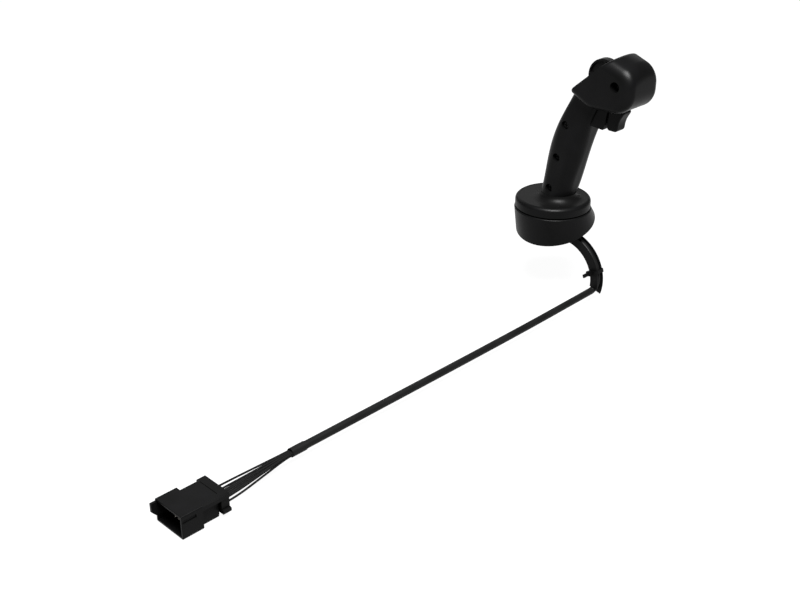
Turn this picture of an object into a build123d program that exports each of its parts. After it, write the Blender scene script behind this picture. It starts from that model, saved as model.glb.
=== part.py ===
from build123d import *
from math import cos, pi, radians, sin, sqrt, tan
import os

# An industrial hand joystick with its cable and sealed eight way connector.
# The origin is the centre of the slanted mounting face under the base.
# +Z is up, +X is the operator's right, where the cable goes, and +Y is forward, where the trigger points.

# Fits
run_gap = 0.05
slip_gap = 0.2
seat_gap = 0.3
part_gap = 0.6

# Mounting face and base
face_slope = 18
base_r = 38
rim_r = 36.3
rim_z = 18
stick_x = rim_z * tan(radians(face_slope))
pivot_z = 15
base_bore_r = 29
deck_thick = 3
deck_hole_r = 20
mount_circle_r = 34.5
mount_hole_r = 1.65
mount_hole_depth = 8
base_edge = 1

# Cover under the base
cover_r = 30.7
cover_low = 2
cover_thick = 2.5
cover_screw_circle_r = 26.2
cover_boss_r = 3.5
grommet_wall = 1.2
grommet_lip = 1.2
relief_screw_ys = (-1.5, 22)

# Screws
small_screw_r = 1.25
small_head_r = 2.3
small_head_high = 1.5
small_bite = 5
grip_screw_r = 1.5
grip_head_r = 3.2
grip_head_high = 2.4

# Retaining ring and boot
groove_high = 1.5
ring_r = 35.6
ring_high = 9.1
ring_wall = 2
ring_lip_r = 32
ring_lip_thick = 3.6
ring_shoulder = 3.9
spigot_wall = 2.6
boot_wall = 1.5
boot_flange_high = 1.2
ring_base_z = rim_z + groove_high
ring_top_z = ring_base_z + ring_high
lip_z = ring_top_z - ring_lip_thick
spigot_top = lip_z - boot_flange_high - seat_gap
boot_flare = 6.5
neck_r = 16
neck_y = 5.5

# Gimbal
ring_outer_r = 14.4
ring_inner_r = 9.8
ring_deep = 7
trunnion_r = 1.5
bush_r = 2.5
post_near = 15
post_far = 19
post_half = 4
trunnion_end = post_far - 0.2
carrier_r = 24
carrier_thick = 2
carrier_screw_circle_r = 22
hub_r = 9.2
hub_half = 6.3
magnet_r = 2.5
magnet_high = 2.2

# Sensor board on the cover
board_long = 14
board_wide = 12
board_thick = 1
chip_side = 4
chip_high = 1

# Stick
stick_lean = 11.6
shaft_r = 5
shaft_bore_r = 2.2
shaft_top_z = 66

# Grip
grip_half_x = 15
grip_corner = 12
grip_wall = 2.4
grip_root_r = 16.5
rib_thick = 2
grip_boss_r = 5
counterbore_r = 3.95
counterbore_deep = 5.5
grip_screw_z = (41.6, 73.5, 105.4)
grip_floor = 3
grip_screw_bite = 9
grip_rib_z = (52, 60, 84, 94, 115)
grip_stations = (
    # height, centre forward, half depth
    (35.4, 6.2, grip_root_r),
    (43, 8.5, 15.9),
    (65, 13.1, 17.2),
    (95, 20.5, 17.9),
    (138, 39.5, 17),
)

# Head
head_half = 22.2
head_wall = 2.6
head_edge = 9
plate_angle = 41.5
plate_low_y = 29
plate_low_z = 143.6
plate_long = 44
plate_thick = 2
plate_ledge = 2.4
plate_mid = 21
plate_size = (37, 42)
plate_corner = 4
rear_run = -6
ridge_run = plate_long + 7
top_fall = 20
head_front_y = 89.7
heel_r = 14
head_heel_y = 46
head_floor_z = 128.8
head_chin_z = 131.3
crown_r = 43
nose_top_r = 16
nose_low_r = 17
head_screw_y = 73.5
head_screw_z = 153.9
head_counterbore_r = 4.7
head_counterbore_deep = 9
head_boss_r = 5.6

# Thumb roller
roller_y = 48.2
roller_z = 154
roller_r = 15.9
roller_half = 4
axle_r = 1.5
cradle_wall = 1.8

# Trigger and its housing
trigger_half = 7
trigger_pivot_y = 63.5
trigger_pivot_z = 121.5
trigger_pin_r = 1.25
housing_half = 8.5
housing_floor_z = 108.6
housing_wall = 1.8
lug_half = 3
lug_r = 2.8
housing_front_y = 56.3
housing_rear_y = 30
housing_low_rear_y = 36
housing_rear_rise = 1.5
trigger_tip_y = 64.5
trigger_tip_z = 108.6
trigger_top_z = head_floor_z - part_gap
trigger_top_front_y = 76.6
trigger_top_rear_y = 60.1
trigger_nose = (69.1, 110.4)
trigger_bends = ((71.5, 121.5), (69.9, 115.5))
trigger_slot_z = 116.9
trigger_pin_skin = 1.2
trigger_spring_z = 111.8
trigger_spring_r = 1.4
trigger_spring_wire = 0.5
trigger_spring_long = 6.4
trigger_spring_turns = 5

# Switch behind the trigger
plunger_r = 1.1
plunger_z = 115.1
plunger_rear_y = 52.2
plunger_front_y = 59
switch_half = 3.2
switch_rear_y = 44.5
switch_front_y = 54.2
switch_low_z = 111.6
switch_high_z = 118.2

# Strain relief channel
channel_y = 15.5
channel_z = -47
channel_floor_r = 33.5
channel_wall_r = 42
channel_half = 4.5
channel_wall = 1.2
channel_floor = 1.4
channel_end = -17
near_wall_end = -6
floor_end = 1
channel_start = 92
channel_step = 24
foot_wide = 18
foot_long = 31
foot_mid_y = 10.5
foot_corner = 4
foot_thick = 2.6
tie_thick = 1.1
tie_wide = 3.4
tie_angle = 17.5
tie_head_size = (3.4, 5, 4.8)
tie_tail_long = 9
tie_tail_high = 2
tie_round = 0.5

# Cable, wires and connector
cable_d = 6.5
cable_exit_y = 9.5
cable_y = 50.8
cable_z = -57.6
cable_end_x = 375
cable_lift = 2.6
cable_settle_x = 120
cable_run_r = channel_wall_r - cable_d / 2 - 0.45
sleeve_long = 14
sleeve_wall = 0.45
sleeve_past = 3
wire_d = 1.5
wire_bundle_pitch = 1.53
pin_pitch_y = 4.2
pin_pitch_z = 6.2
plug_y = 51.3
plug_z = -58.35
plug_back_x = 447
flange_thick = 7
body_start_x = 455
wire_end_x = body_start_x - 1
shroud_start_x = 470.5
plug_front_x = 488.5
shroud_wide = 31.4
shroud_high = 19.5
body_wide = 23.4
body_y = plug_y + 0.4
pin_y = 54
pin_z = -59
plug_wall = 1.5
pin_r = 0.8
rail_high = 4.4
wedge_wide = 20
wedge_high = 13.5
foot_past = 2
foot_inside = 6
foot_high = 3.4
tab_thick = plug_wall + 0.6
tab_drops = (2.1, 9.4, 13.4)
tab_past = (4.6, 1.1)
tab_bite = 10
seal_wide = 18
seal_high = 10.4
flange_low_y = 37
flange_high_y = 66
flange_low_z = -64.8
seal_long = 6
wedge_long = 5
pin_front_x = 481
cavity_back_x = shroud_start_x + 1


def mount_plane(height=0):
    """The slanted mounting face, moved up its own normal by a height."""
    slope = radians(face_slope)
    normal = Vector(sin(slope), 0, cos(slope))
    return Plane(origin=normal * height, x_dir=(cos(slope), 0, -sin(slope)), z_dir=normal)


def above(z, size=400):
    return Pos(0, 0, z) * Box(size, size, size, align=(Align.CENTER, Align.CENTER, Align.MIN))


def below(z, size=400):
    return Pos(0, 0, z) * Box(size, size, size, align=(Align.CENTER, Align.CENTER, Align.MAX))


def right_of(x, size=400):
    return Pos(x, 0, 0) * Box(size, size, size, align=(Align.MIN, Align.CENTER, Align.CENTER))


def left_of(x, size=400):
    return Pos(x, 0, 0) * Box(size, size, size, align=(Align.MAX, Align.CENTER, Align.CENTER))


def upright(radius, length):
    return Cylinder(radius, length, align=(Align.CENTER, Align.CENTER, Align.MIN))


def rod_x(radius, x0, x1, y, z):
    """A cylinder along X from x0 to x1."""
    return Pos(min(x0, x1), y, z) * Rot(0, 90, 0) * upright(radius, abs(x1 - x0))


def rod_y(radius, y0, y1, x, z):
    """A cylinder along Y from y0 to y1."""
    return Pos(x, y1, z) * Rot(90, 0, 0) * upright(radius, y1 - y0)


def disc(radius, z0, z1, x=stick_x, y=0):
    """A vertical cylinder from z0 to z1."""
    return Pos(x, y, z0) * upright(radius, z1 - z0)


def slab(x0, x1, y0, y1, z0, z1):
    """A box between two corners."""
    return Pos((x0 + x1) / 2, (y0 + y1) / 2, (z0 + z1) / 2) * Box(x1 - x0, y1 - y0, z1 - z0)


def yz_face(points, x=0, radius=0):
    """A closed outline given as (y, z) points with rounded corners, at one x."""
    corners = [(x, y, z) for y, z in points]
    return make_face(FilletPolyline(*corners, radius=radius, close=True)) if radius else make_face(
        Polyline(*corners, close=True)
    )


def yz_plate(points, x0, x1, radius=0):
    """An outline in Y and Z extruded from x0 to x1."""
    return extrude(yz_face(points, x0, radius), amount=x1 - x0, dir=(1, 0, 0))


def group(pieces):
    """Separate solids kept together in one node."""
    solids = []
    for piece in pieces:
        solids.extend(piece.solids())
    return Compound(children=solids)


def save(name, shape):
    export_step(shape, f"parts/{name}.step")
    print(f"{name}: {len(shape.solids())} solids, {shape.volume:.0f} cubic mm")


# Base housing and its cover

def base_housing():
    outer = loft([mount_plane() * Circle(base_r), Pos(stick_x, 0, rim_z) * Circle(rim_r)])
    outer = fillet(outer.edges().group_by(Axis.Z)[-1], base_edge)
    cover_top = cover_low + cover_thick
    deck_z = rim_z - deck_thick
    bore = mount_plane() * Cylinder(base_bore_r, 60)
    body = outer - (bore & below(deck_z)) - disc(deck_hole_r, deck_z - 1, rim_z + 1)
    body -= extrude(mount_plane() * Circle(cover_r + seat_gap), amount=2 * cover_top, both=True) & (
        extrude(mount_plane() * Circle(base_r + 1), amount=cover_top, both=True)
    )
    for spot in cover_screw_spots():
        boss = extrude(mount_plane(cover_top) * spot * Circle(cover_boss_r), amount=30) & below(deck_z)
        body += boss
        body -= extrude(mount_plane(cover_top) * spot * Circle(small_screw_r), amount=small_bite, both=True)
    for spot in PolarLocations(mount_circle_r, 4, start_angle=45):
        body -= extrude(mount_plane() * spot * Circle(mount_hole_r), amount=mount_hole_depth, both=True)
    spigot_r = ring_r - ring_wall - run_gap
    body += disc(spigot_r, rim_z, spigot_top) - disc(spigot_r - spigot_wall, rim_z - 1, spigot_top + 1)
    for spot in PolarLocations(carrier_screw_circle_r, 4, start_angle=45):
        body -= Pos(stick_x, 0, 0) * spot * disc(small_screw_r, deck_z - 1, rim_z + 1, 0)
    return body


def cover_screw_spots():
    return PolarLocations(cover_screw_circle_r, 4, start_angle=45)


def base_plate():
    plate = extrude(mount_plane(cover_low) * Circle(cover_r), amount=cover_thick)
    for spot in cover_screw_spots():
        plate -= extrude(mount_plane() * spot * Circle(small_screw_r + slip_gap), amount=20)
    plate -= disc(cable_d / 2 + grommet_wall, -20, 20, 0, cable_exit_y)
    for y in relief_screw_ys:
        plate -= extrude(mount_plane() * Pos(0, y) * Circle(small_screw_r), amount=20)
    return plate


def screw(radius, head_radius, head_high, length):
    """A pan head screw with its head on +Z, seated at the origin."""
    body = disc(radius, -length, 0, 0) + disc(head_radius, 0, head_high, 0)
    body = fillet(body.edges().group_by(Axis.Z)[-1], head_high * 0.4)
    slot = Pos(0, 0, head_high) * Box(head_radius * 1.2, head_radius * 0.3, head_high)
    return body - slot - Rot(0, 0, 90) * slot


def plate_screws():
    one = screw(small_screw_r, small_head_r, small_head_high, cover_thick + small_bite)
    seat = mount_plane(cover_low).location
    return group([seat * spot * Rot(180, 0, 0) * one for spot in cover_screw_spots()])


def carrier_screws():
    one = screw(small_screw_r, small_head_r, small_head_high, carrier_thick + deck_thick)
    return group([Pos(stick_x, 0, rim_z + carrier_thick) * spot * one
                  for spot in PolarLocations(carrier_screw_circle_r, 4, start_angle=45)])


def retaining_ring():
    ring = disc(ring_r, ring_base_z, ring_top_z)
    ring = fillet(ring.edges().group_by(Axis.Z)[-1], ring_shoulder)
    ring -= disc(ring_r - ring_wall, ring_base_z - 1, lip_z)
    return ring - disc(ring_lip_r, ring_base_z - 1, ring_top_z + 1)


def boot():
    """The rubber boot: a trapped flange, a flat skirt and a flared neck under the grip."""
    top = ring_top_z
    outer_r = ring_lip_r - run_gap
    flange = disc(ring_r - ring_wall - seat_gap, lip_z - boot_flange_high, lip_z)
    wall = disc(outer_r, lip_z - boot_flange_high, top)
    skirt = flange + wall - disc(outer_r - boot_wall, lip_z - boot_flange_high - 1, top - boot_wall)
    flare_r = neck_r + boot_flare
    neck = disc(flare_r, top - boot_wall, top + boot_flare, y=neck_y)
    hollow = revolve(
        Plane.XZ * (Pos(flare_r, top + boot_flare) * Circle(boot_flare)), Axis.Z
    )
    neck -= Pos(stick_x, neck_y, 0) * hollow
    inner = disc(flare_r - boot_wall, top - 2 * boot_wall, top + boot_flare + 1, y=neck_y)
    inner -= Pos(stick_x, neck_y, 0) * revolve(
        Plane.XZ * (Pos(flare_r, top + boot_flare) * Circle(boot_flare + boot_wall)), Axis.Z
    )
    return skirt + neck - (inner & disc(flare_r - boot_wall, top - 2 * boot_wall, 99, y=neck_y))


# Gimbal

def gimbal_carrier():
    flange = disc(carrier_r, rim_z, rim_z + carrier_thick) - disc(post_near, rim_z - 1, rim_z + 5)
    for side in (-1, 1):
        x0 = stick_x + min(side * post_near, side * post_far)
        x1 = x0 + post_far - post_near
        flange += slab(x0, x1, -post_half, post_half, pivot_z - 4, rim_z + carrier_thick)
        flange -= rod_x(bush_r, x0 - 1, x0 + 6, 0, pivot_z)
    for spot in PolarLocations(carrier_screw_circle_r, 4, start_angle=45):
        flange -= Pos(stick_x, 0, 0) * spot * disc(small_screw_r + slip_gap, rim_z - 1, rim_z + 5, 0)
    return flange


def outer_bushes():
    bushes = []
    for side in (-1, 1):
        x0 = stick_x + side * (post_near - 0.2)
        x1 = stick_x + side * post_far
        hole = rod_x(trunnion_r + run_gap, x0 - 9, x0 + 9, 0, pivot_z)
        bushes.append(rod_x(bush_r, x0, x1, 0, pivot_z) - hole)
    return group(bushes)


def gimbal_ring():
    half = ring_deep / 2
    ring = disc(ring_outer_r, pivot_z - half, pivot_z + half) - disc(ring_inner_r, 0, 30)
    ring = chamfer(ring.edges().group_by(Axis.Z)[-1] + ring.edges().group_by(Axis.Z)[0], 0.6)
    ring -= rod_x(trunnion_r, stick_x - 30, stick_x + 30, 0, pivot_z)
    return ring - rod_y(bush_r, -30, 30, stick_x, pivot_z)


def outer_trunnions():
    pins = []
    for side in (-1, 1):
        x0 = stick_x + side * (ring_inner_r + 0.4)
        x1 = stick_x + side * trunnion_end
        pins.append(rod_x(trunnion_r, x0, x1, 0, pivot_z))
    return group(pins)


def inner_bushes():
    bushes = []
    for side in (-1, 1):
        y0 = side * (ring_inner_r - 0.2)
        y1 = side * (ring_outer_r - 0.5)
        low, high = min(y0, y1), max(y0, y1)
        hole = rod_y(trunnion_r + run_gap, low - 1, high + 1, stick_x, pivot_z)
        bushes.append(rod_y(bush_r, low, high, stick_x, pivot_z) - hole)
    return group(bushes)


def leaned(shape):
    """A shape built along Z at the origin, put on the leaning axis of the stick at its pivot."""
    return Pos(stick_x, 0, pivot_z) * Rot(-stick_lean, 0, 0) * shape


def stick_hub():
    ball = Sphere(hub_r) & Box(3 * hub_r, 3 * hub_r, 2 * hub_half)
    hub = Pos(stick_x, 0, pivot_z) * ball
    hub -= rod_y(trunnion_r, -20, 20, stick_x, pivot_z)
    return hub - leaned(disc(shaft_r, trunnion_r + 1, 40, 0))


def inner_trunnion():
    return rod_y(trunnion_r, 0.6 - ring_outer_r, ring_outer_r - 0.6, stick_x, pivot_z)


def stick_magnet():
    return disc(magnet_r, pivot_z - hub_half - magnet_high, pivot_z - hub_half)


def stick_shaft():
    length = (shaft_top_z - pivot_z) / cos(radians(stick_lean))
    start = trunnion_r + 1
    shaft = disc(shaft_r, start, length, 0) - disc(shaft_bore_r, start + 8, length + 1, 0)
    shaft = leaned(chamfer(shaft.edges().group_by(Axis.Z)[-1], 0.5))
    y, z = screw_spot(0)
    return shaft - rod_x(grip_screw_r + slip_gap, -30, 30, y, z)


def screw_spot(index):
    """Height and forward place of one grip screw, all on the leaning axis."""
    z = grip_screw_z[index]
    return (z - pivot_z) * tan(radians(stick_lean)), z


# Sensor, spring pieces

def sensor_board():
    top = cover_low + cover_thick
    spot = mount_plane(top) * Pos(stick_x / cos(radians(face_slope)) - 1.5, -2.1)
    return extrude(spot * Rectangle(board_long, board_wide), amount=board_thick)


def hall_sensor():
    top = cover_low + cover_thick + board_thick
    spot = mount_plane(top) * Pos(stick_x / cos(radians(face_slope)) - 1.5, 0)
    return extrude(spot * Rectangle(chip_side, chip_side), amount=chip_high)


def cable_grommet():
    r = cable_d / 2
    low = -1
    top = 6
    plug = disc(r + grommet_wall - run_gap, low, top, 0, cable_exit_y)
    slices = extrude(mount_plane(cover_low) * Circle(cover_r), amount=cover_thick + grommet_lip)
    plug = plug & slices
    lip = disc(r + grommet_wall + 1, low, top, 0, cable_exit_y)
    lip = lip & extrude(mount_plane(cover_low + cover_thick) * Circle(cover_r), amount=grommet_lip)
    return plug + lip - disc(r, low - 5, top + 5, 0, cable_exit_y)


# Grip

def grip_form(shrink=0):
    """The outside of the grip, or its inside when shrunk by the wall."""
    sections = []
    for z, y, half_deep in grip_stations:
        half_x = grip_root_r if z == grip_stations[0][0] else grip_half_x
        corner = half_x - 0.1 if z == grip_stations[0][0] else grip_corner
        outline = RectangleRounded(2 * (half_x - shrink), 2 * (half_deep - shrink), corner - shrink)
        sections.append(Pos(stick_x, y, z) * outline)
    return loft(sections)


def plate_plane(height=0):
    """The sloped face of the head, its Y axis running up the slope."""
    slope = radians(plate_angle)
    normal = Vector(0, -sin(slope), cos(slope))
    corner = Vector(stick_x, plate_low_y, plate_low_z)
    return Plane(origin=corner + normal * height, x_dir=(1, 0, 0), z_dir=normal)


def under_plate(height):
    return extrude(plate_plane(height) * Rectangle(200, 200), amount=-200)


def shaft_room(extra=0.0):
    return leaned(disc(shaft_r + run_gap + extra, 0, 90, 0)) & below(shaft_top_z + slip_gap)


def grip_shell(side_room):
    """One moulded half: wall, ribs and screw bosses, cut at the middle of the grip."""
    floor_z = grip_stations[0][0] + grip_floor
    void = grip_form(grip_wall) & above(floor_z)
    for z in grip_rib_z:
        void -= slab(-30, 40, -30, 90, z, z + rib_thick)
    for index in range(3):
        y, z = screw_spot(index)
        void -= rod_x(grip_boss_r, stick_x - grip_half_x, stick_x + grip_half_x, y, z)
    shell = (grip_form() & side_room) - void
    for index in range(3):
        y, z = screw_spot(index)
        shell -= rod_x(grip_screw_r + slip_gap, stick_x, 90, y, z)
        shell -= rod_x(grip_screw_r, stick_x - grip_screw_bite, stick_x, y, z)
        shell -= rod_x(counterbore_r, stick_x + grip_half_x - counterbore_deep, 90, y, z)
    shell -= shaft_room()
    shell -= leaned(disc(shaft_r - 1, 40, 140, 0))
    return shell & under_plate(-plate_thick - slip_gap)


def grip_right_shell():
    return grip_shell(right_of(stick_x))


def grip_left_shell():
    return grip_shell(left_of(stick_x))


def grip_screws():
    one = screw(grip_screw_r, grip_head_r, grip_head_high, grip_half_x - counterbore_deep + grip_screw_bite)
    pieces = []
    for index in range(3):
        y, z = screw_spot(index)
        pieces.append(Pos(stick_x + grip_half_x - counterbore_deep, y, z) * Rot(0, 90, 0) * one)
    return group(pieces)


# Head

def on_slope(run, height=0):
    """The Y and Z of a point a run up the sloped face, lifted off it by a height."""
    slope = radians(plate_angle)
    y = plate_low_y + run * cos(slope) - height * sin(slope)
    return y, plate_low_z + run * sin(slope) + height * cos(slope)


def head_outline():
    """The side view of the head as corner points and the radius of each corner."""
    ridge_y, ridge_z = on_slope(ridge_run)
    top_front_z = ridge_z - (head_front_y - ridge_y) * tan(radians(top_fall))
    corners = (
        on_slope(rear_run),
        (ridge_y, ridge_z),
        (head_front_y, top_front_z),
        (head_front_y, head_chin_z),
        (head_heel_y, head_floor_z),
    )
    return corners, (0, 0, nose_top_r, nose_low_r, heel_r)


def head_floor_at(y):
    """The height of the head's underside, which rises a little from the heel to the nose."""
    rise = (head_chin_z - head_floor_z) / (head_front_y - head_heel_y)
    return head_floor_z + (y - head_heel_y) * rise


def crown(inset):
    """A cylinder that rounds the top of the head across its width."""
    fall = radians(top_fall)
    ridge_y, ridge_z = on_slope(ridge_run)
    centre = (stick_x, ridge_y - crown_r * sin(fall), ridge_z - crown_r * cos(fall))
    along = Plane(origin=centre, x_dir=(1, 0, 0), z_dir=(0, cos(fall), -sin(fall)))
    return along.location * Cylinder(crown_r - inset, 300)


def head_form(inset=0):
    """The side view of the head drawn across its width, or its hollow when inset by the wall."""
    corners, radii = head_outline()
    face = yz_face(corners, stick_x, radii)
    if inset:
        face = offset(face, amount=-inset)
    half = head_half - inset
    return extrude(face, amount=half, dir=(1, 0, 0)) + extrude(face, amount=half, dir=(-1, 0, 0))


def head_outside():
    form = head_form()
    sides = form.faces().sort_by(Axis.X)
    edges = sides[0].edges() + sides[-1].edges()
    form = fillet([edge for edge in edges if not on_plate(edge @ 0.5)], head_edge)
    return form & crown(0)


def on_plate(point):
    return abs(plate_plane().to_local_coords(point).Z) < 0.5


def head_shell(side_room):
    """One moulded half of the head: wall, screw boss, plate seat and the hole for the grip."""
    void = head_form(head_wall) & crown(head_wall)
    void -= rod_x(head_boss_r, stick_x - head_half, stick_x + head_half, head_screw_y, head_screw_z)
    seat = RectangleRounded(*plate_size, plate_corner)
    opening = Rectangle(plate_size[0] - 2 * plate_ledge, plate_size[1] - 2 * plate_ledge)
    shell = (head_outside() & side_room) - void
    shell -= extrude(plate_plane() * Pos(0, plate_mid) * seat, amount=-plate_thick)
    shell -= extrude(plate_plane() * Pos(0, plate_mid) * opening, amount=-8)
    floor_x = stick_x + head_half - head_counterbore_deep
    shell -= rod_x(head_counterbore_r, floor_x, 90, head_screw_y, head_screw_z)
    shell -= rod_x(grip_screw_r + slip_gap, stick_x, 90, head_screw_y, head_screw_z)
    shell -= rod_x(grip_screw_r, stick_x - grip_screw_bite, stick_x, head_screw_y, head_screw_z)
    return shell - grip_form(-run_gap)


def head_right_shell():
    return head_shell(right_of(stick_x))


def head_left_shell():
    return head_shell(left_of(stick_x))


def head_screw():
    reach = head_half - head_counterbore_deep
    one = screw(grip_screw_r, grip_head_r, grip_head_high, reach + grip_screw_bite)
    return Pos(stick_x + reach, head_screw_y, head_screw_z) * Rot(0, 90, 0) * one


def roller_place():
    local = plate_plane().to_local_coords(Vector(stick_x, roller_y, roller_z))
    return local.Y, local.Z


def face_plate():
    run, depth = roller_place()
    size = (plate_size[0] - 2 * slip_gap, plate_size[1] - 2 * slip_gap)
    plate = extrude(plate_plane() * Pos(0, plate_mid) * RectangleRounded(*size, plate_corner - slip_gap),
                    amount=-plate_thick)
    chord = sqrt(roller_r ** 2 - (depth + plate_thick) ** 2) + part_gap
    slot = plate_plane() * Pos(0, run) * Rectangle(2 * (roller_half + part_gap), 2 * chord)
    return plate - extrude(slot, amount=-plate_thick - 1, both=True)


def roller_cradle():
    run, depth = roller_place()
    chord = sqrt(roller_r ** 2 - (depth + plate_thick) ** 2) + part_gap
    inner = roller_half + part_gap
    top = plate_plane(-plate_thick)
    frame = extrude(top * Pos(0, run) * Rectangle(2 * inner + 10, 2 * chord + 3), amount=-cradle_wall)
    frame -= extrude(top * Pos(0, run) * Rectangle(2 * inner, 2 * chord + 0.6), amount=-5, both=True)
    for side in (-1, 1):
        wall = top * Pos(side * (inner + cradle_wall / 2), run) * Rectangle(cradle_wall, 15)
        frame += extrude(wall, amount=depth - 4)
    frame -= rod_x(axle_r, stick_x - 20, stick_x + 20, roller_y, roller_z)
    return frame


def roller_axle():
    end = roller_half + part_gap + cradle_wall
    return rod_x(axle_r, stick_x - end, stick_x + end, roller_y, roller_z)


def thumb_roller():
    left = stick_x - roller_half
    right = stick_x + roller_half
    wheel = rod_x(roller_r, left, right, roller_y, roller_z)
    wheel = fillet(wheel.edges().filter_by(GeomType.CIRCLE), 0.9)
    for x0, x1 in ((right - 2, right + 1), (left - 1, left + 2)):
        dish = rod_x(roller_r - 1.8, x0, x1, roller_y, roller_z) - rod_x(4.5, x0, x1, roller_y, roller_z)
        for turn in range(4):
            turned = Rot(90 * turn + 45 + plate_angle, 0, 0)
            dish -= Pos(0, roller_y, roller_z) * turned * slab(x0, x1, 0, 20, -1, 1)
        wheel -= dish
    return wheel - rod_x(axle_r + run_gap, left - 1, right + 1, roller_y, roller_z)


# Trigger and its housing

def trigger_housing():
    """A box under the head with a lug that carries the trigger pin."""
    front_y = housing_front_y + 3.4
    low_z = housing_floor_z
    outline = (
        (housing_rear_y, head_floor_z),
        (head_heel_y, head_floor_z),
        (front_y, head_floor_at(front_y)),
        (housing_front_y, low_z),
        (housing_low_rear_y, low_z + housing_rear_rise),
    )
    box = yz_plate(outline, stick_x - housing_half, stick_x + housing_half)
    box = fillet(box.edges().filter_by(Axis.X).group_by(Axis.Z)[0], 1.5)
    inner_low_z = housing_floor_z + housing_wall
    inner = (
        (housing_rear_y, head_floor_z + 3),
        (front_y - housing_wall, head_floor_z + 3),
        (housing_front_y - 2.1, inner_low_z),
        (housing_low_rear_y, inner_low_z + housing_rear_rise),
    )
    half = housing_half - housing_wall
    box -= yz_plate(inner, stick_x - half, stick_x + half)
    left = stick_x - lug_half
    right = stick_x + lug_half
    lug = slab(left, right, 57, trigger_pivot_y, trigger_pivot_z - lug_r, trigger_pivot_z + lug_r)
    lug += rod_x(lug_r, left, right, trigger_pivot_y, trigger_pivot_z)
    box += lug
    box -= rod_x(trigger_pin_r + run_gap, stick_x - 9, stick_x + 9, trigger_pivot_y, trigger_pivot_z)
    box -= rod_y(plunger_r + run_gap, 50, 60, stick_x, plunger_z)
    return box - grip_form(-run_gap)


def trigger():
    """The finger lever: a hooked blade with a slot for the lug, hollow behind for its spring."""
    top_front = (trigger_top_front_y, trigger_top_z)
    front = Spline(*[(y, z, 0) for y, z in (top_front, *trigger_bends, trigger_nose)])
    low_places = ((67.8, 109), (trigger_tip_y, trigger_tip_z), (61, 108.8), (58.8, 109.6))
    around = (trigger_nose, *low_places, (trigger_top_rear_y, trigger_top_z), top_front)
    outline = Polyline(*[(y, z, 0) for y, z in around])
    face = make_face(front + outline)
    onto = Plane(origin=(stick_x - trigger_half, 0, 0), x_dir=(0, 1, 0), z_dir=(1, 0, 0))
    blade = extrude(onto * face, amount=2 * trigger_half)
    blade = fillet(blade.edges().filter_by(Axis.X).sort_by(Axis.Z)[:4], 0.8)
    slot_half = lug_half + seat_gap
    blade -= slab(stick_x - slot_half, stick_x + slot_half, 50, 68, trigger_slot_z, 140)
    pin_end = stick_x + trigger_half - trigger_pin_skin
    blade -= rod_x(trigger_pin_r, stick_x - trigger_half - 1, pin_end, trigger_pivot_y, trigger_pivot_z)
    return blade - rod_y(trigger_spring_r + 0.6, 50, 64, stick_x, trigger_spring_z)


def trigger_pin():
    pin_start = stick_x - trigger_half + 0.3
    pin_end = stick_x + trigger_half - trigger_pin_skin
    return rod_x(trigger_pin_r, pin_start, pin_end, trigger_pivot_y, trigger_pivot_z)


def coil(radius, wire, length, turns):
    """An open coil along Z, its wire square so that it stays light."""
    path = Helix(pitch=(length - wire) / turns, height=length - wire, radius=radius)
    section = Plane(origin=path @ 0, z_dir=path % 0) * Rectangle(wire, wire)
    return Pos(0, 0, wire / 2) * sweep(section, path=path, is_frenet=True)


def trigger_spring():
    spring = coil(trigger_spring_r, trigger_spring_wire, trigger_spring_long, trigger_spring_turns)
    return Pos(stick_x, housing_front_y + 0.6, trigger_spring_z) * Rot(-90, 0, 0) * spring


def microswitch():
    left = stick_x - switch_half
    right = stick_x + switch_half
    body = slab(left, right, switch_rear_y, switch_front_y, switch_low_z, switch_high_z)
    return body - rod_y(plunger_r + run_gap, 51, 60, stick_x, plunger_z) - grip_form(-run_gap)


def switch_plunger():
    pin = rod_y(plunger_r, plunger_rear_y, plunger_front_y - 0.1, stick_x, plunger_z)
    return fillet(pin.edges().filter_by(GeomType.CIRCLE).sort_by(Axis.Y)[-1], 0.5)


# Strain relief

def channel_ring(inner, outer, x0, x1, start, end):
    """Part of a ring about the channel's own axis, between two angles above the level."""
    wedge = [(channel_y, channel_z)]
    steps = 6
    for step in range(steps + 1):
        angle = radians(start + (end - start) * step / steps)
        wedge.append((channel_y + 90 * cos(angle), channel_z + 90 * sin(angle)))
    ring = rod_x(outer, x0, x1, channel_y, channel_z) - rod_x(inner, x0 - 1, x1 + 1, channel_y, channel_z)
    return ring & yz_plate(wedge, x0, x1)


def strain_relief():
    """A curved open channel that turns the cable down, with a foot screwed under the base."""
    half = channel_half
    wall_in = half - channel_wall
    body = channel_ring(channel_floor_r, channel_floor_r + channel_floor, -half, half, channel_start, floor_end)
    body += channel_ring(channel_floor_r, channel_wall_r, -half, -wall_in, channel_start, channel_end)
    body += channel_ring(channel_floor_r, channel_wall_r, wall_in, half, channel_start, near_wall_end)
    for x0, x1 in ((-half, -wall_in), (wall_in, half)):
        body += slab(x0, x1, channel_y - 2, channel_y + 11, channel_z + channel_floor_r + 2, 0) - rod_x(
            channel_wall_r - 3, -90, 90, channel_y, channel_z)
    foot_face = RectangleRounded(foot_wide, foot_long, foot_corner)
    foot = extrude(mount_plane(cover_low) * Pos(0, foot_mid_y) * foot_face, amount=-foot_thick)
    foot -= disc(cable_d / 2 + grommet_wall + slip_gap, -20, 20, 0, cable_exit_y)
    foot -= slab(-wall_in, wall_in, cable_exit_y, 40, -20, -0.4)
    for y in relief_screw_ys:
        foot -= extrude(mount_plane() * Pos(0, y) * Circle(small_screw_r + slip_gap), amount=20, both=True)
    return body - above(-0.5) + foot


def relief_screws():
    one = screw(small_screw_r, small_head_r, small_head_high, foot_thick + cover_thick)
    seat = mount_plane(cover_low - foot_thick).location
    return group([seat * Pos(0, y) * Rot(180, 0, 0) * one for y in relief_screw_ys])


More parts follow.
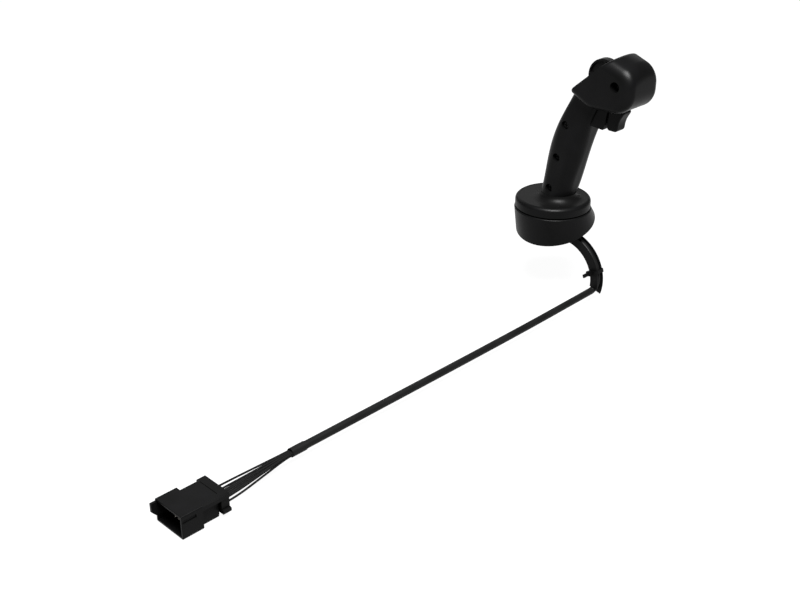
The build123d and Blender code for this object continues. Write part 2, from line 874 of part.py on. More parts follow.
def cable_tie():
    """A band round the channel and its cable, with the ratchet head and cut tail on the right."""
    inner_r = channel_floor_r - seat_gap
    outer_r = cable_run_r + cable_d / 2 + 0.6
    half = channel_half + slip_gap
    mid = (inner_r + outer_r) / 2
    high = outer_r - inner_r
    loop = RectangleRounded(2 * half + 2 * tie_thick, high + 2 * tie_thick, 2)
    hole = Rectangle(2 * half, high)
    band = extrude(loop - hole, amount=tie_wide / 2, both=True)
    side = half + tie_thick
    head = Pos(side + 1.6, high / 2 - 2, 0) * Box(*tie_head_size)
    tail = Pos(side + 6, high / 2 - 2, 0) * Box(tie_tail_long, tie_tail_high, tie_wide)
    tie = band + fillet(head.edges(), tie_round) + fillet(tail.edges(), tie_round)
    angle = radians(tie_angle)
    out = Vector(0, cos(angle), sin(angle))
    along = Vector(0, -sin(angle), cos(angle))
    centre = Vector(0, channel_y, channel_z) + out * mid
    return Plane(origin=centre, x_dir=(1, 0, 0), z_dir=along * -1).location * tie


# Cable and wires

def channel_point(angle):
    """A corner of the cable's route outside its arc in the channel."""
    reach = cable_run_r / cos(radians(channel_step / 2))
    turn = radians(angle)
    return (0, channel_y + reach * cos(turn), channel_z + reach * sin(turn))


cable_route = (
    (0, cable_exit_y, 6),
    (0, cable_exit_y, channel_z + cable_run_r),
    channel_point(78),
    channel_point(54),
    channel_point(30),
    channel_point(6),
    (0, cable_y, cable_z + cable_lift),
    (cable_settle_x, cable_y, cable_z),
    (cable_end_x, cable_y, cable_z),
)


def bend_radii(route):
    """The largest arc at each corner: 0.45 of the shorter run over the tangent of half the turn."""
    radii = []
    for before, here, after in zip(route, route[1:], route[2:]):
        run_in = Vector(here) - Vector(before)
        run_out = Vector(after) - Vector(here)
        turn = radians(run_in.get_angle(run_out))
        radii.append(0.45 * min(run_in.length, run_out.length) / tan(turn / 2))
    return radii


def cord(name, route, diameter):
    """A round tube along straight runs joined by tangent arcs."""
    radii = bend_radii(route)
    path = FilletPolyline(*route, radius=radii)
    section = Plane(origin=path @ 0, z_dir=path % 0) * Circle(diameter / 2)
    tube = sweep(section, path=path)
    share = tube.volume / (pi * diameter ** 2 / 4 * path.length)
    shown = [round(radius, 1) for radius in radii]
    print(f"{name}: radii {shown}, length {path.length:.1f}, volume share {share:.4f}")
    return tube


def cable():
    return cord("cable", cable_route, cable_d)


def jacket_sleeve():
    r = cable_d / 2 + run_gap
    start = cable_end_x - sleeve_long + sleeve_past
    return rod_x(r + sleeve_wall, start, cable_end_x + sleeve_past, cable_y, cable_z) - rod_x(
        r, start - 1, cable_end_x + 9, cable_y, cable_z)


def wire_route(row, column):
    """One wire from its place in the cable to its place in the connector."""
    bundle_y = cable_y + (column - 1.5) * wire_bundle_pitch
    bundle_z = cable_z + (row - 0.5) * wire_bundle_pitch
    seat_y = pin_y + (column - 1.5) * pin_pitch_y
    seat_z = pin_z + (row - 0.5) * pin_pitch_z
    return (
        (cable_end_x, bundle_y, bundle_z),
        (cable_end_x + 9, bundle_y, bundle_z),
        (cable_end_x + 33, bundle_y + (seat_y - bundle_y) * 0.45, bundle_z + (seat_z - bundle_z) * 0.47),
        (plug_back_x - 9, seat_y, seat_z),
        (wire_end_x, seat_y, seat_z),
    )


# Connector

def plug_slab(x0, x1, wide, high, y=plug_y):
    return slab(x0, x1, y - wide / 2, y + wide / 2, plug_z - high / 2, plug_z + high / 2)


def pin_spots():
    return [(pin_y + (column - 1.5) * pin_pitch_y, pin_z + (row - 0.5) * pin_pitch_z)
            for row in range(2) for column in range(4)]


def connector_housing():
    """The plug body: rear flange, stepped block, open front shroud, top rail, side slot and lock tab."""
    half = shroud_wide / 2
    top = plug_z + shroud_high / 2
    flange_end = plug_back_x + flange_thick
    flange = slab(plug_back_x, flange_end, flange_low_y, flange_high_y, flange_low_z, top - 0.5)
    flange = fillet(flange.edges().filter_by(Axis.X), 2)
    groove = plug_slab(plug_back_x + 1, body_start_x + 1, body_wide - 2, shroud_high - 2, body_y)
    groove = groove - slab(0, flange_end, 0, 99, -99, flange_low_z + 0.5)
    block = plug_slab(body_start_x, shroud_start_x + 1, body_wide, shroud_high, body_y)
    block = fillet(block.edges().filter_by(Axis.X), 1)
    shroud = plug_slab(shroud_start_x, plug_front_x, shroud_wide, shroud_high)
    shroud = fillet(shroud.edges().filter_by(Axis.X), 1.2)
    shroud = chamfer(shroud.faces().sort_by(Axis.X)[-1].edges(), 0.3)
    rail_y = body_y + body_wide / 2 - 1
    rail = slab(plug_back_x + 1, shroud_start_x + 1, rail_y, plug_y + half, top - rail_high, top)
    rail = chamfer(rail.edges().filter_by(Axis.X).group_by(Axis.Z)[-1].sort_by(Axis.Y)[-1], 1.2)
    foot_low_y = flange_high_y - foot_inside
    foot_high_y = flange_high_y + foot_past
    foot = slab(plug_back_x, flange_end, foot_low_y, foot_high_y, flange_low_z, flange_low_z + foot_high)
    foot = chamfer(foot.edges().filter_by(Axis.X), 0.6)
    tab_points = (
        (plug_front_x - tab_bite, top - tab_drops[0]),
        (plug_front_x + tab_past[0], top - tab_drops[0]),
        (plug_front_x + tab_past[0], top - tab_drops[1]),
        (plug_front_x + tab_past[1], top - tab_drops[2]),
        (plug_front_x - tab_bite, top - tab_drops[2]),
    )
    tab_face = make_face(Polyline(*[(x, plug_y - half, z) for x, z in tab_points], close=True))
    tab = extrude(tab_face, amount=tab_thick, dir=(0, 1, 0))
    body = flange + groove + block + shroud + rail + foot + tab
    cavity_wide = shroud_wide - 2 * plug_wall
    cavity_high = shroud_high - 2 * plug_wall
    body -= plug_slab(cavity_back_x, plug_front_x + 9, cavity_wide, cavity_high) - tab
    side_y = plug_y + half
    body -= slab(plug_front_x - 12.5, plug_front_x - 0.8, side_y - 0.8, side_y + 1, top - 6.4, top - 3.4)
    body -= seal_block(plug_back_x - 1)
    for y, z in pin_spots():
        body -= rod_x(pin_r, plug_back_x, plug_front_x, y, z)
        body -= rod_x(wire_d / 2 + run_gap, plug_back_x, wire_end_x, y, z)
    return body


def seal_block(start):
    end = plug_back_x + seal_long + 1
    y0 = pin_y - seal_wide / 2
    z0 = pin_z - seal_high / 2
    return slab(start, end, y0, y0 + seal_wide, z0, z0 + seal_high)


def rear_seal():
    seal = seal_block(plug_back_x + 1)
    for y, z in pin_spots():
        seal -= rod_x(wire_d / 2 + 0.02, plug_back_x, plug_back_x + 20, y, z)
    return seal


def wedge_lock():
    wedge = plug_slab(cavity_back_x, cavity_back_x + wedge_long, wedge_wide, wedge_high)
    wedge = fillet(wedge.edges().filter_by(Axis.X), 1)
    for y, z in pin_spots():
        wedge -= rod_x(pin_r + run_gap, cavity_back_x - 1, cavity_back_x + 20, y, z)
    return wedge


def connector_pins():
    pins = []
    for y, z in pin_spots():
        pin = rod_x(pin_r, wire_end_x, pin_front_x, y, z)
        pins.append(chamfer(pin.edges().filter_by(GeomType.CIRCLE).sort_by(Axis.X)[-1], 0.3))
    return group(pins)


if __name__ == "__main__":
    os.makedirs("parts", exist_ok=True)
    save("base_housing", base_housing())
    save("base_plate", base_plate())
    save("plate_screws", plate_screws())
    save("retaining_ring", retaining_ring())
    save("boot", boot())
    save("gimbal_carrier", gimbal_carrier())
    save("carrier_screws", carrier_screws())
    save("outer_bushes", outer_bushes())
    save("gimbal_ring", gimbal_ring())
    save("outer_trunnions", outer_trunnions())
    save("inner_bushes", inner_bushes())
    save("stick_hub", stick_hub())
    save("inner_trunnion", inner_trunnion())
    save("stick_magnet", stick_magnet())
    save("stick_shaft", stick_shaft())
    save("sensor_board", sensor_board())
    save("hall_sensor", hall_sensor())
    save("cable_grommet", cable_grommet())
    save("grip_right_shell", grip_right_shell())
    save("grip_left_shell", grip_left_shell())
    save("grip_screws", grip_screws())
    save("head_right_shell", head_right_shell())
    save("head_left_shell", head_left_shell())
    save("head_screw", head_screw())
    save("face_plate", face_plate())
    save("roller_cradle", roller_cradle())
    save("roller_axle", roller_axle())
    save("thumb_roller", thumb_roller())
    save("trigger_housing", trigger_housing())
    save("trigger", trigger())
    save("trigger_pin", trigger_pin())
    save("trigger_spring", trigger_spring())
    save("microswitch", microswitch())
    save("switch_plunger", switch_plunger())
    save("strain_relief", strain_relief())
    save("relief_screws", relief_screws())
    save("cable_tie", cable_tie())
    save("cable", cable())
    save("jacket_sleeve", jacket_sleeve())
    for number in range(8):
        name = f"wire_{number + 1}"
        save(name, cord(name, wire_route(number // 4, number % 4), wire_d))
    save("connector_housing", connector_housing())
    save("rear_seal", rear_seal())
    save("wedge_lock", wedge_lock())
    save("connector_pins", connector_pins())
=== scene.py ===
from math import cos, pi, radians, sin, sqrt, tan

import bmesh
import bpy
from mathutils import Matrix, Vector


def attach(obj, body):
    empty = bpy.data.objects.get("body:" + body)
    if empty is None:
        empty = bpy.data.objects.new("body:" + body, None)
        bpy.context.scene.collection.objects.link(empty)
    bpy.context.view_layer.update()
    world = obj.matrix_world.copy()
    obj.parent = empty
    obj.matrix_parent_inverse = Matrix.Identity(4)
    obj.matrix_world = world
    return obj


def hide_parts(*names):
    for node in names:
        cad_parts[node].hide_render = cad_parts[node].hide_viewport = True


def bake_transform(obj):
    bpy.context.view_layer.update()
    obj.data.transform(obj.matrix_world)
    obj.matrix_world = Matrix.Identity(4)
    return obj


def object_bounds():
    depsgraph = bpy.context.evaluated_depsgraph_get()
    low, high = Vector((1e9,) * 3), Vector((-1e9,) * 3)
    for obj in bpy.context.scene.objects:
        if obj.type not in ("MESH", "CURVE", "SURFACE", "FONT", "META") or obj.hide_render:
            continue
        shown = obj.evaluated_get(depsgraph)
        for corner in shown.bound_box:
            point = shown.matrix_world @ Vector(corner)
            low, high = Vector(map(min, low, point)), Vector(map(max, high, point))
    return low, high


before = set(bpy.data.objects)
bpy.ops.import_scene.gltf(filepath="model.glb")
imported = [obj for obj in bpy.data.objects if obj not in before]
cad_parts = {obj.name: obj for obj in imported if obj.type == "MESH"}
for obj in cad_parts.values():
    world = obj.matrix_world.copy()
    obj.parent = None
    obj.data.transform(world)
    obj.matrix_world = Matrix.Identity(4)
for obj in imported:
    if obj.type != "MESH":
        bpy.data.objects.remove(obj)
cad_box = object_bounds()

# The view, in metres and degrees: fitted to the photograph's base circles and cable
camera_place = (0.8348, 0.6242, 0.4496)
camera_turn = 45
camera_pitch = 27.4
focal_pixels = 1170
image_width = 800
sensor_wide = 36
nearest_seen = 0.01

# Surface under the connector
floor_z = cad_box[0][2] - 0.0005

# Boot, about the stick's axis
stick_x = 0.005849
boot_r = 0.0319
boot_middle_r = 0.0272
boot_skirt_z = 0.0284
boot_flare = 0.0095
neck_top_z = 0.0355
neck_r = 0.0164
neck_y = 0.0062
neck_gap = 0.0006
sector_count = 12
sector_steps = 8
outer_rows = 6
inner_rows = 20
row_crowding = 1.8
slope_step = 0.00004
slope_turn = 0.002

# Head, in millimetres as (y, z) in the side view
mm = 0.001
head_corners = ((24.5, 139.6), (46, 128.4), (89.7, 130.2), (89.7, 169.2), (67.2, 177.4))
head_half = 22.2
head_wall = 2.6
head_top_edge = 7
head_low_edge = 7
head_front_edge = 8.5
head_radii = (2, 20, 19, 17, 5)
heel_shrink = 0.5
crown_r = 43
plate_angle = 41.5
plate_low = (29, 143.6)
head_screw = (73.5, 153.9)
head_boss_r = 5.6
head_counterbore_r = 4.7
head_counterbore_deep = 0.009

# Blocks let into the sloped face: half width, lower and upper end, depth and corner, in millimetres
plate_seat = (18.5, 0, 42, 2, 4)
plate_opening = (16.1, 2.4, 39.6, 7, 3)
block_above = 4

# Trigger, in millimetres as (y, z) in the side view
trigger_corners = ((58.8, 108.6), (68.7, 108.6), (69.6, 118), (75.8, 129), (60.1, 128.2))
trigger_radii = (1.8, 3, 60, 2, 0.4)
trigger_half = 7
trigger_edge = 2.2
trigger_sharp = 1.0

# Cable and wires: the same route as the CAD, the wires a tenth thicker than there
cable_d = 0.0065
cable_exit_y = 0.0095
cable_start_z = 0.006
cable_y = 0.0508
cable_z = -0.0576
cable_end_x = 0.375
cable_lift = 0.0026
cable_settle_x = 0.12
cable_bend_x = 0.012
cable_bend_share = 0.9
cable_last_run = 0.03
channel_y = 0.0155
channel_z = -0.047
cable_run_r = 0.0383
channel_step = 24
channel_angles = (78, 54, 30, 6)
wire_d = 0.00165
wire_bundle_pitch = 0.00153
wire_straight = 0.009
wire_spread_x = 0.033
wire_spread_y = 0.45
wire_spread_z = 0.47
pin_pitch_y = 0.0042
pin_pitch_z = 0.0062
pin_y = 0.054
pin_z = -0.059
plug_back_x = 0.447
wire_end_x = 0.454

# Gloss of the dark plastics and rubbers
black_specular = 0.12
cord_specular = 0.14
cord_roughness = 0.4

# Lights: place, target, size in metres and power in watts
overhead_light = ((0.53, 0.46, 1.2), (0.12, 0.03, 0.04), (0.65, 0.65), 100)
back_light = ((-1.2, -1.4, 1.0), (0.15, 0, 0), (2.4, 1.3), 8)
sky_strength = 0.15
floor_half = 12
floor_glow = 0.96


# Camera

def place_camera():
    camera = bpy.data.objects.new("camera", bpy.data.cameras.new("camera"))
    bpy.context.scene.collection.objects.link(camera)
    camera.data.sensor_width = sensor_wide
    camera.data.lens = focal_pixels * sensor_wide / image_width
    camera.data.clip_start = nearest_seen
    turn, pitch = radians(camera_turn), radians(camera_pitch)
    forward = Vector((-sin(turn) * cos(pitch), -cos(turn) * cos(pitch), -sin(pitch)))
    camera.location = camera_place
    camera.rotation_euler = forward.to_track_quat("-Z", "Y").to_euler()
    bpy.context.scene.camera = camera


# Cords

def cord_curve(name, points, diameter):
    """A smooth round cord along its route's points."""
    curve = bpy.data.curves.new(name, "CURVE")
    curve.dimensions = "3D"
    curve.bevel_depth = diameter / 2
    curve.bevel_resolution = 8
    curve.resolution_u = 24
    curve.use_fill_caps = True
    spline = curve.splines.new("NURBS")
    spline.points.add(len(points) - 1)
    for spot, point in zip(spline.points, points):
        spot.co = (*point, 1)
    spline.order_u = 3
    spline.use_endpoint_u = True
    piece = bpy.data.objects.new(name, curve)
    bpy.context.scene.collection.objects.link(piece)
    return piece


def channel_point(angle):
    """A corner of the route outside its arc in the channel."""
    reach = cable_run_r / cos(radians(channel_step / 2))
    turn = radians(angle)
    return (0, channel_y + reach * cos(turn), channel_z + reach * sin(turn))


def build_cable(material):
    route = (
        (0, cable_exit_y, cable_start_z),
        (0, cable_exit_y, channel_z + cable_run_r),
        *(channel_point(angle) for angle in channel_angles),
        (0, cable_y, cable_z + cable_lift),
        (cable_bend_x, cable_y, cable_z + cable_lift * cable_bend_share),
        (cable_settle_x, cable_y, cable_z),
        (cable_end_x - cable_last_run, cable_y, cable_z),
        (cable_end_x, cable_y, cable_z),
    )
    piece = cord_curve("cable_smooth", route, cable_d)
    piece.data.materials.append(material)
    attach(piece, "base")
    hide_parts("cable")
    return piece


def build_wires(material):
    wires = []
    for number in range(8):
        row, column = number // 4, number % 4
        bundle_y = cable_y + (column - 1.5) * wire_bundle_pitch
        bundle_z = cable_z + (row - 0.5) * wire_bundle_pitch
        seat_y = pin_y + (column - 1.5) * pin_pitch_y
        seat_z = pin_z + (row - 0.5) * pin_pitch_z
        spread_y = bundle_y + (seat_y - bundle_y) * wire_spread_y
        spread_z = bundle_z + (seat_z - bundle_z) * wire_spread_z
        route = (
            (cable_end_x, bundle_y, bundle_z),
            (cable_end_x + wire_straight, bundle_y, bundle_z),
            (cable_end_x + wire_spread_x, spread_y, spread_z),
            (plug_back_x - wire_straight, seat_y, seat_z),
            (wire_end_x, seat_y, seat_z),
        )
        piece = cord_curve(f"wire_smooth_{number + 1}", route, wire_d)
        piece.data.materials.append(material)
        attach(piece, "base")
        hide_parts(f"wire_{number + 1}")
        wires.append(piece)
    return wires


# Boot: a skin in sectors
# The outer band runs from the skirt's rim in to the middle circle, the inner band from there up into the neck

def neck_reach(angle):
    """How far the neck lies from the boot's centre along one direction."""
    across = neck_y * sin(angle)
    return across + sqrt(neck_r ** 2 - (neck_y * cos(angle)) ** 2)


def boot_height(reach, angle):
    """The skin's height: a flat skirt that sweeps up into the neck."""
    inner = neck_reach(angle)
    flare = min(boot_flare, boot_r - inner - neck_gap)
    left = 1 - (reach - inner) / flare
    if left <= 0:
        return boot_skirt_z
    rise = neck_top_z - boot_skirt_z
    return boot_skirt_z + rise * (1 - sqrt(max(0, 1 - left ** 2)))


def boot_point(reach, angle):
    return Vector((stick_x + reach * cos(angle), reach * sin(angle), boot_height(reach, angle)))


def boot_normal(reach, angle):
    inside = max(neck_reach(angle) + slope_step, reach)
    outward = boot_point(inside + slope_step, angle) - boot_point(inside - slope_step, angle)
    around = boot_point(inside, angle + slope_turn) - boot_point(inside, angle - slope_turn)
    return outward.cross(around).normalized()


def boot_rows(inner_band, angle):
    """Distances from the centre, closer together where the neck sweeps up."""
    if not inner_band:
        span = boot_middle_r - boot_r
        return [boot_r + span * step / outer_rows for step in range(outer_rows + 1)]
    inner = neck_reach(angle)
    span = boot_middle_r - inner
    return [inner + span * (1 - step / inner_rows) ** row_crowding for step in range(inner_rows + 1)]


def boot_sector(number, inner_band, material):
    mesh = bpy.data.meshes.new("boot_skin")
    form = bmesh.new()
    normals = []
    columns = []
    for side in range(sector_steps + 1):
        angle = 2 * pi * (number * sector_steps + side) / (sector_count * sector_steps)
        rows = boot_rows(inner_band, angle)
        columns.append([form.verts.new(boot_point(reach, angle)) for reach in rows])
        normals.extend(boot_normal(reach, angle) for reach in rows)
    for here, there in zip(columns, columns[1:]):
        for corners in zip(here, here[1:], there[1:], there):
            face = form.faces.new(corners)
            face.smooth = True
    bmesh.ops.recalc_face_normals(form, faces=form.faces)
    form.to_mesh(mesh)
    form.free()
    if mesh.polygons[0].normal.z < 0:
        mesh.flip_normals()
    mesh.normals_split_custom_set_from_vertices(normals)
    band = "inner" if inner_band else "outer"
    piece = bpy.data.objects.new(f"boot_{band}_{number + 1}", mesh)
    bpy.context.scene.collection.objects.link(piece)
    mesh.materials.append(material)
    angle = 2 * pi * (number + 0.5) / sector_count
    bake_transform(piece)
    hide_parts("boot")


# Head and trigger: smooth skins drawn as side views, one after another across the width

def inset_corners(corners, offsets):
    """The corners of an outline whose edges have moved inwards, each by its own distance."""
    edges = []
    for here, there, offset in zip(corners, corners[1:] + corners[:1], offsets):
        along = (there - here).normalized()
        inward = Vector((-along.y, along.x))
        edges.append((here + inward * offset, along))
    moved = []
    for (spot, along), (start, way) in zip(edges[-1:] + edges[:-1], edges):
        gap = start - spot
        reach = (gap.x * way.y - gap.y * way.x) / (along.x * way.y - along.y * way.x)
        moved.append(spot + along * reach)
    return moved


def rounded(corners, radii, steps=12):
    points = []
    for index, corner in enumerate(corners):
        before, after = corners[index - 1], corners[(index + 1) % len(corners)]
        back, ahead = (before - corner), (after - corner)
        half = back.angle(ahead) / 2
        run = min(radii[index] / tan(half), 0.49 * back.length, 0.49 * ahead.length)
        back, ahead = back.normalized(), ahead.normalized()
        centre = corner + (back + ahead).normalized() * run / cos(half)
        first, last = corner + back * run - centre, corner + ahead * run - centre
        turn = first.angle(last)
        for step in range(steps + 1):
            share = step / steps
            mix = first * sin((1 - share) * turn) + last * sin(share * turn)
            points.append(centre + mix / sin(turn))
    return points


def edge_round(across, half, radius):
    """How far an edge rounded by a radius has come in at a distance from the middle."""
    past = max(0, across - (half - radius))
    return radius - sqrt(max(0, radius ** 2 - past ** 2))


def across_places(half, radius, steps=14):
    """Places from the middle to one side, closer together where the edge turns."""
    flat = half - radius
    return [flat * step / 6 for step in range(6)] + [
        flat + radius * sin(pi / 2 * step / steps) for step in range(steps + 1)]


def skin_mesh(name, outline_at, half, radius):
    """A closed skin through outlines across the width; sharp edges stay sharp."""
    places = across_places(half, radius)
    form = bmesh.new()
    rings = []
    for across in [-place for place in reversed(places[1:])] + places:
        rings.append([form.verts.new((stick_x + across, y * mm, z * mm)) for y, z in outline_at(abs(across))])
    for here, there in zip(rings, rings[1:]):
        for index in range(len(here)):
            form.faces.new((here[index - 1], here[index], there[index], there[index - 1]))
    form.faces.new(rings[0])
    form.faces.new(list(reversed(rings[-1])))
    bmesh.ops.recalc_face_normals(form, faces=form.faces)
    mesh = bpy.data.meshes.new(name)
    form.to_mesh(mesh)
    form.free()
    piece = bpy.data.objects.new(name, mesh)
    bpy.context.scene.collection.objects.link(piece)
    return piece


def soften(piece, limit=0.6):
    """Smooth shading, but with the edges that turn by more than a limit kept sharp."""
    form = bmesh.new()
    form.from_mesh(piece.data)
    for face in form.faces:
        face.smooth = True
    for edge in form.edges:
        edge.smooth = len(edge.link_faces) == 2 and edge.calc_face_angle(0) < limit
    form.to_mesh(piece.data)
    form.free()


def head_outline_at(inset):
    """The head's side view at a distance from its middle, in millimetres, as (y, z) points."""
    corners = [Vector(spot) for spot in head_corners]

    def outline(across):
        place = across / mm
        half = head_half - inset
        crown = crown_r - sqrt(crown_r ** 2 - place ** 2)
        low = edge_round(place, half, head_low_edge - inset) + inset
        front = edge_round(place, half, head_front_edge - inset) + inset
        top = crown + edge_round(place, half, head_top_edge - inset) + inset
        moved = inset_corners(corners, (low, low, front, top, inset))
        rear, heel, chin, nose, ridge = head_radii
        return rounded(moved, (rear - inset * heel_shrink, heel, chin, nose, ridge - inset))
    return outline


def cutter(name, form):
    mesh = bpy.data.meshes.new(name)
    bmesh.ops.recalc_face_normals(form, faces=form.faces)
    form.to_mesh(mesh)
    form.free()
    piece = bpy.data.objects.new(name, mesh)
    bpy.context.scene.collection.objects.link(piece)
    return piece


def bar_x(name, radius, x0, x1, y, z):
    form = bmesh.new()
    turn = Matrix.Translation(((x0 + x1) / 2, y * mm, z * mm)) @ Matrix.Rotation(pi / 2, 4, "Y")
    bmesh.ops.create_cone(form, cap_ends=True, segments=64, radius1=radius * mm, radius2=radius * mm,
                          depth=x1 - x0, matrix=turn)
    return cutter(name, form)


def plate_block(name, half_wide, low, high, depth, corner):
    """A rounded block let into the sloped face."""
    slope = radians(plate_angle)
    up, normal = Vector((0, cos(slope), sin(slope))), Vector((0, -sin(slope), cos(slope)))
    origin = Vector((stick_x, plate_low[0] * mm, plate_low[1] * mm))
    spots = ((-half_wide, low), (half_wide, low), (half_wide, high), (-half_wide, high))
    square = [Vector(spot) for spot in spots]
    form = bmesh.new()
    layers = []
    for height in (-depth, block_above):
        layers.append([form.verts.new(origin + (Vector((x, 0, 0)) + up * run + normal * height) * mm)
                       for x, run in rounded(square, (corner,) * 4, 6)])
    low_ring, high_ring = layers
    for index in range(len(low_ring)):
        form.faces.new((low_ring[index - 1], low_ring[index], high_ring[index], high_ring[index - 1]))
    form.faces.new(low_ring)
    form.faces.new(high_ring)
    return cutter(name, form)


def combine(piece, other, operation):
    """Join or cut one piece by another and drop the other."""
    step = piece.modifiers.new("combine", "BOOLEAN")
    step.operation = operation
    step.object = other
    step.solver = "EXACT"
    view = bpy.context.evaluated_depsgraph_get()
    mesh = bpy.data.meshes.new_from_object(piece.evaluated_get(view))
    piece.modifiers.clear()
    piece.data = mesh
    bpy.data.objects.remove(other)


def build_head(material):
    head = skin_mesh("head_skin", head_outline_at(0), head_half * mm, head_front_edge * mm)
    wall = head_wall * mm
    hollow_edge = (head_front_edge - head_wall) * mm
    hollow = skin_mesh("head_hollow", head_outline_at(head_wall), head_half * mm - wall, hollow_edge)
    combine(head, hollow, "DIFFERENCE")
    side = stick_x + head_half * mm
    combine(head, bar_x("boss", head_boss_r, stick_x, side - mm, *head_screw), "UNION")
    floor_x = side - head_counterbore_deep
    counterbore = bar_x("counterbore", head_counterbore_r, floor_x, side + 0.01, *head_screw)
    combine(head, counterbore, "DIFFERENCE")
    combine(head, plate_block("seat", *plate_seat), "DIFFERENCE")
    combine(head, plate_block("opening", *plate_opening), "DIFFERENCE")
    head.data.materials.clear()
    head.data.materials.append(material)
    soften(head)
    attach(head, "stick")
    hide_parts("head_right_shell", "head_left_shell")


def build_trigger(material):
    corners = [Vector(spot) for spot in trigger_corners]

    def outline(across):
        inward = edge_round(across / mm, trigger_half, trigger_edge)
        moved = inset_corners(corners, (inward,) * (len(corners) - 1) + (0,))
        return rounded(moved, trigger_radii, 8)
    piece = skin_mesh("trigger_skin", outline, trigger_half * mm, trigger_edge * mm)
    piece.data.materials.append(material)
    soften(piece, trigger_sharp)
    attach(piece, "trigger")
    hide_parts("trigger")


# Materials

def new_material(name, color, roughness, specular):
    material = bpy.data.materials.new(name)
    material.use_nodes = True
    nodes, links = material.node_tree.nodes, material.node_tree.links
    shader = nodes["Principled BSDF"]
    shader.inputs["Base Color"].default_value = (*color, 1)
    shader.inputs["Roughness"].default_value = roughness
    shader.inputs["IOR"].default_value = 1.3
    shader.inputs["Specular IOR Level"].default_value = specular
    return material, nodes, links, shader


def noise_at(nodes, links, scale, detail):
    place = nodes.new("ShaderNodeTexCoord")
    noise = nodes.new("ShaderNodeTexNoise")
    noise.inputs["Scale"].default_value = scale
    noise.inputs["Detail"].default_value = detail
    links.new(place.outputs["Object"], noise.inputs["Vector"])
    return noise


def add_bump(nodes, links, shader, source, strength, distance):
    bump = nodes.new("ShaderNodeBump")
    bump.inputs["Strength"].default_value = strength
    bump.inputs["Distance"].default_value = distance
    links.new(source, bump.inputs["Height"])
    links.new(bump.outputs["Normal"], shader.inputs["Normal"])


def vary_roughness(nodes, links, shader, source, low, high):
    spread = nodes.new("ShaderNodeMapRange")
    spread.inputs["To Min"].default_value = low
    spread.inputs["To Max"].default_value = high
    links.new(source, spread.inputs["Value"])
    links.new(spread.outputs["Result"], shader.inputs["Roughness"])


def vary_color(nodes, links, shader, source, low, high):
    ramp = nodes.new("ShaderNodeValToRGB")
    ramp.color_ramp.elements[0].position = 0.35
    ramp.color_ramp.elements[0].color = (*low, 1)
    ramp.color_ramp.elements[1].position = 0.7
    ramp.color_ramp.elements[1].color = (*high, 1)
    links.new(source, ramp.inputs["Fac"])
    links.new(ramp.outputs["Color"], shader.inputs["Base Color"])


def moulded_black(name, tone=0.0018, roughness=0.36, grain=0.12):
    """Black moulded plastic: a fine spark-eroded grain and faint handling marks."""
    material, nodes, links, shader = new_material(name, (tone, tone, tone * 1.05), roughness, black_specular)
    grain_noise = noise_at(nodes, links, 2600, 2)
    wear_noise = noise_at(nodes, links, 45, 4)
    add_bump(nodes, links, shader, grain_noise.outputs["Fac"], grain, 0.00006)
    vary_roughness(nodes, links, shader, wear_noise.outputs["Fac"], roughness - 0.05, roughness + 0.07)
    worn = (tone * 1.2, tone * 1.2, tone * 1.27)
    vary_color(nodes, links, shader, wear_noise.outputs["Fac"], (tone * 0.85,) * 3, worn)
    return material


def soft_rubber(name, tone=0.0018, roughness=0.4, specular=black_specular, scale=900):
    material, nodes, links, shader = new_material(name, (tone, tone, tone), roughness, specular)
    fine = noise_at(nodes, links, scale, 4)
    broad = noise_at(nodes, links, 60, 3)
    add_bump(nodes, links, shader, fine.outputs["Fac"], 0.15, 0.0001)
    vary_roughness(nodes, links, shader, broad.outputs["Fac"], roughness - 0.06, roughness + 0.08)
    vary_color(nodes, links, shader, broad.outputs["Fac"], (tone * 0.85,) * 3, (tone * 1.25,) * 3)
    return material


def metal(name, color, roughness):
    material, nodes, links, shader = new_material(name, color, roughness, 0.5)
    shader.inputs["Metallic"].default_value = 1
    fine = noise_at(nodes, links, 1500, 3)
    add_bump(nodes, links, shader, fine.outputs["Fac"], 0.1, 0.00005)
    vary_roughness(nodes, links, shader, fine.outputs["Fac"], roughness - 0.06, roughness + 0.08)
    return material


def board_green(name):
    material, nodes, links, shader = new_material(name, (0.01, 0.09, 0.03), 0.3, 0.5)
    broad = noise_at(nodes, links, 300, 2)
    vary_color(nodes, links, shader, broad.outputs["Fac"], (0.008, 0.075, 0.025), (0.014, 0.11, 0.04))
    return material


def dress(material, *nodes_by_name):
    """Put a material on carried-over pieces."""
    for name in nodes_by_name:
        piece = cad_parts[name]
        for slot in piece.material_slots:
            slot.material = material


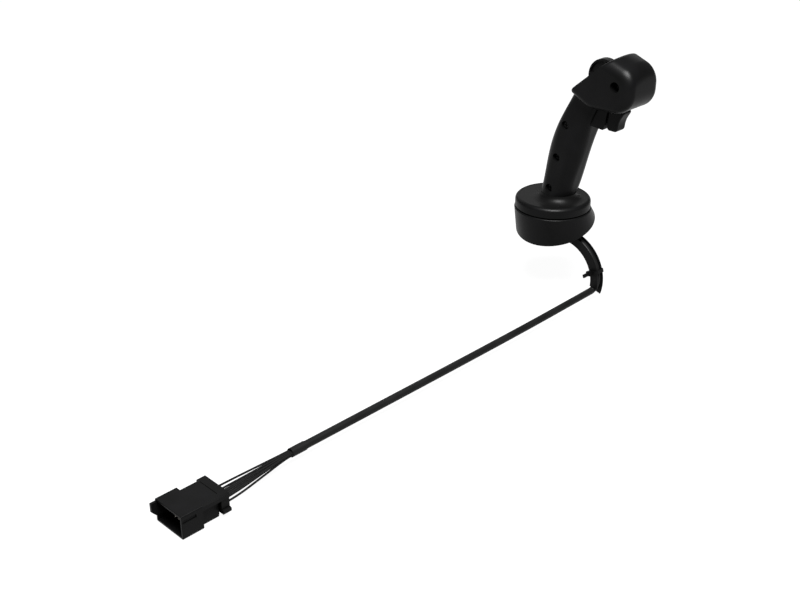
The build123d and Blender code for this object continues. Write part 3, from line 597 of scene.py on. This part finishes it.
def dress_all(plastic, grip, rubber, jacket):
    steel = metal("turned_steel", (0.5, 0.5, 0.51), 0.32)
    # Nearly black metal on the screws, so that the screw holes show dark
    near_black = metal("near_black_screw", (0.012, 0.012, 0.012), 0.5)
    bronze = metal("bearing_bronze", (0.55, 0.36, 0.16), 0.4)
    tin = metal("tinned_contact", (0.3, 0.28, 0.25), 0.4)
    board = board_green("board")
    dress(plastic, "base_housing", "base_plate", "retaining_ring", "gimbal_carrier", "strain_relief",
          "cable_tie", "connector_housing", "wedge_lock", "hall_sensor", "microswitch",
          "switch_plunger", "roller_cradle")
    dress(grip, "grip_right_shell", "grip_left_shell", "head_right_shell", "head_left_shell",
          "face_plate", "thumb_roller", "trigger", "trigger_housing")
    dress(rubber, "boot", "cable_grommet", "rear_seal")
    dress(jacket, "jacket_sleeve")
    dress(steel, "stick_hub", "stick_shaft", "inner_trunnion", "outer_trunnions", "gimbal_ring",
          "roller_axle", "trigger_pin", "trigger_spring", "plate_screws", "relief_screws", "stick_magnet")
    dress(near_black, "grip_screws", "head_screw", "carrier_screws")
    dress(bronze, "outer_bushes", "inner_bushes")
    dress(tin, "connector_pins")
    dress(board, "sensor_board")


# Stage and light

def build_stage():
    mesh = bpy.data.meshes.new("floor")
    floor = bpy.data.objects.new("floor", mesh)
    bpy.context.scene.collection.objects.link(floor)
    form = bmesh.new()
    bmesh.ops.create_grid(form, x_segments=1, y_segments=1, size=floor_half)
    form.to_mesh(mesh)
    form.free()
    floor.location = (0, 0, floor_z)
    material, nodes, links, shader = new_material("pale_floor", (0.05, 0.05, 0.05), 0.9, 0.1)
    shader.inputs["Emission Color"].default_value = (1, 1, 1, 1)
    shader.inputs["Emission Strength"].default_value = floor_glow
    mesh.materials.append(material)


def area_light(name, place, target, size, power):
    light = bpy.data.objects.new(name, bpy.data.lights.new(name, "AREA"))
    bpy.context.scene.collection.objects.link(light)
    light.data.shape = "RECTANGLE"
    light.data.size = size[0]
    light.data.size_y = size[1]
    light.data.energy = power
    light.location = place
    light.rotation_euler = (Vector(target) - Vector(place)).to_track_quat("-Z", "Y").to_euler()


def build_light():
    world = bpy.context.scene.world or bpy.data.worlds.new("world")
    bpy.context.scene.world = world
    world.use_nodes = True
    back = world.node_tree.nodes["Background"]
    back.inputs["Color"].default_value = (1, 1, 1, 1)
    back.inputs["Strength"].default_value = sky_strength
    area_light("overhead", *overhead_light)
    area_light("back", *back_light)
    bpy.context.scene.view_settings.view_transform = "Standard"


place_camera()
jacket = soft_rubber("cable_jacket", 0.0035, cord_roughness, cord_specular, 700)
wire_coat = soft_rubber("wire_coat", 0.003, cord_roughness, cord_specular, 900)
cable = build_cable(jacket)
wires = build_wires(wire_coat)
grip_black = moulded_black("grip_black", 0.0016, 0.34, 0.1)
build_head(grip_black)
build_trigger(grip_black)
dress_all(moulded_black("housing_black"), grip_black, soft_rubber("boot_rubber"), jacket)
boot_skin = soft_rubber("boot_skin")
for number in range(sector_count):
    boot_sector(number, False, boot_skin)
    boot_sector(number, True, boot_skin)
build_stage()
build_light()
